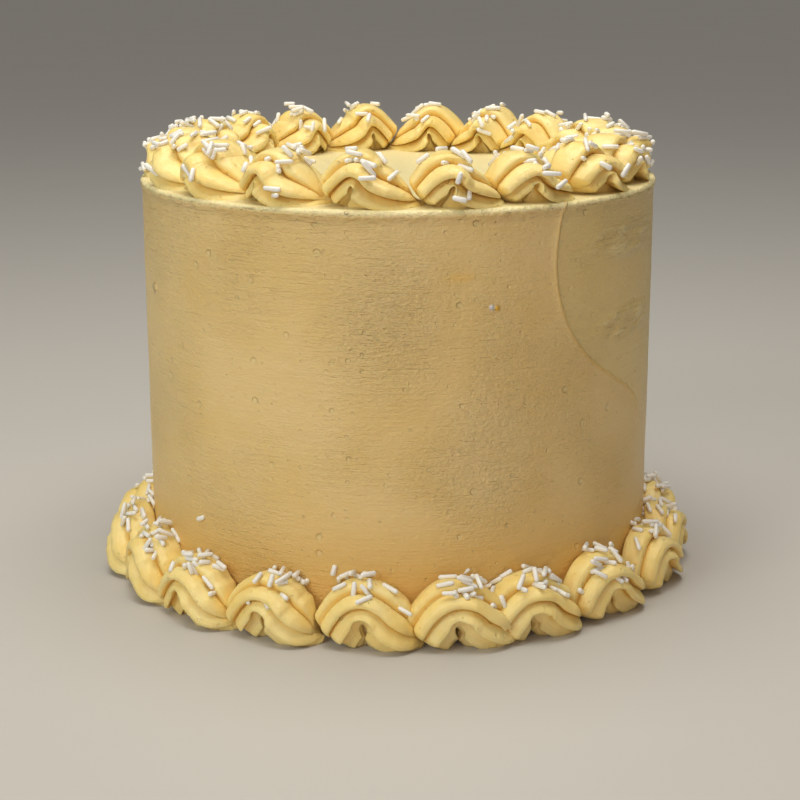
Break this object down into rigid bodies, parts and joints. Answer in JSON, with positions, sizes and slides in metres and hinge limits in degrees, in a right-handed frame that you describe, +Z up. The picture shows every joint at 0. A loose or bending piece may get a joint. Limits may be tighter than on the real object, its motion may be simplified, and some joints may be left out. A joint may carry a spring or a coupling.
{
  "type": "lemon cake",
  "caption": "Tall round lemon buttercream cake with smooth scraped sides, a piped shell border round its rim and foot, and white sugar sprinkles.",
  "frame": {"origin": "middle of the cake's flat underside", "axes": "+Z up through the middle of the cake; the side that faces the viewer looks along -Y; +X to the viewer's right"},
  "size_m": [0.2474, 0.2468, 0.1847],
  "materials": {
    "buttercream": "pale lemon buttercream, scraped smooth, soft satin",
    "piped_buttercream": "lemon buttercream piped through a star nozzle, soft satin",
    "sprinkles": "white sugar strands with a soft gloss"
  },
  "bodies": {
    "root": {"iced_cake": "buttercream", "rim_shell_01": "piped_buttercream", "rim_shell_02": "piped_buttercream", "rim_shell_03": "piped_buttercream", "rim_shell_04": "piped_buttercream", "rim_shell_05": "piped_buttercream", "rim_shell_06": "piped_buttercream", "rim_shell_07": "piped_buttercream", "rim_shell_08": "piped_buttercream", "rim_shell_09": "piped_buttercream", "rim_shell_10": "piped_buttercream", "rim_shell_11": "piped_buttercream", "rim_shell_12": "piped_buttercream", "rim_shell_13": "piped_buttercream", "rim_shell_14": "piped_buttercream", "rim_shell_15": "piped_buttercream", "rim_shell_16": "piped_buttercream", "rim_shell_17": "piped_buttercream", "rim_shell_18": "piped_buttercream", "foot_shell_01": "piped_buttercream", "foot_shell_02": "piped_buttercream", "foot_shell_03": "piped_buttercream", "foot_shell_04": "piped_buttercream", "foot_shell_05": "piped_buttercream", "foot_shell_06": "piped_buttercream", "foot_shell_07": "piped_buttercream", "foot_shell_08": "piped_buttercream", "foot_shell_09": "piped_buttercream", "foot_shell_10": "piped_buttercream", "foot_shell_11": "piped_buttercream", "foot_shell_12": "piped_buttercream", "foot_shell_13": "piped_buttercream", "foot_shell_14": "piped_buttercream", "foot_shell_15": "piped_buttercream", "foot_shell_16": "piped_buttercream", "foot_shell_17": "piped_buttercream", "foot_shell_18": "piped_buttercream", "foot_shell_19": "piped_buttercream", "foot_shell_20": "piped_buttercream"}
  },
  "joints": []
}
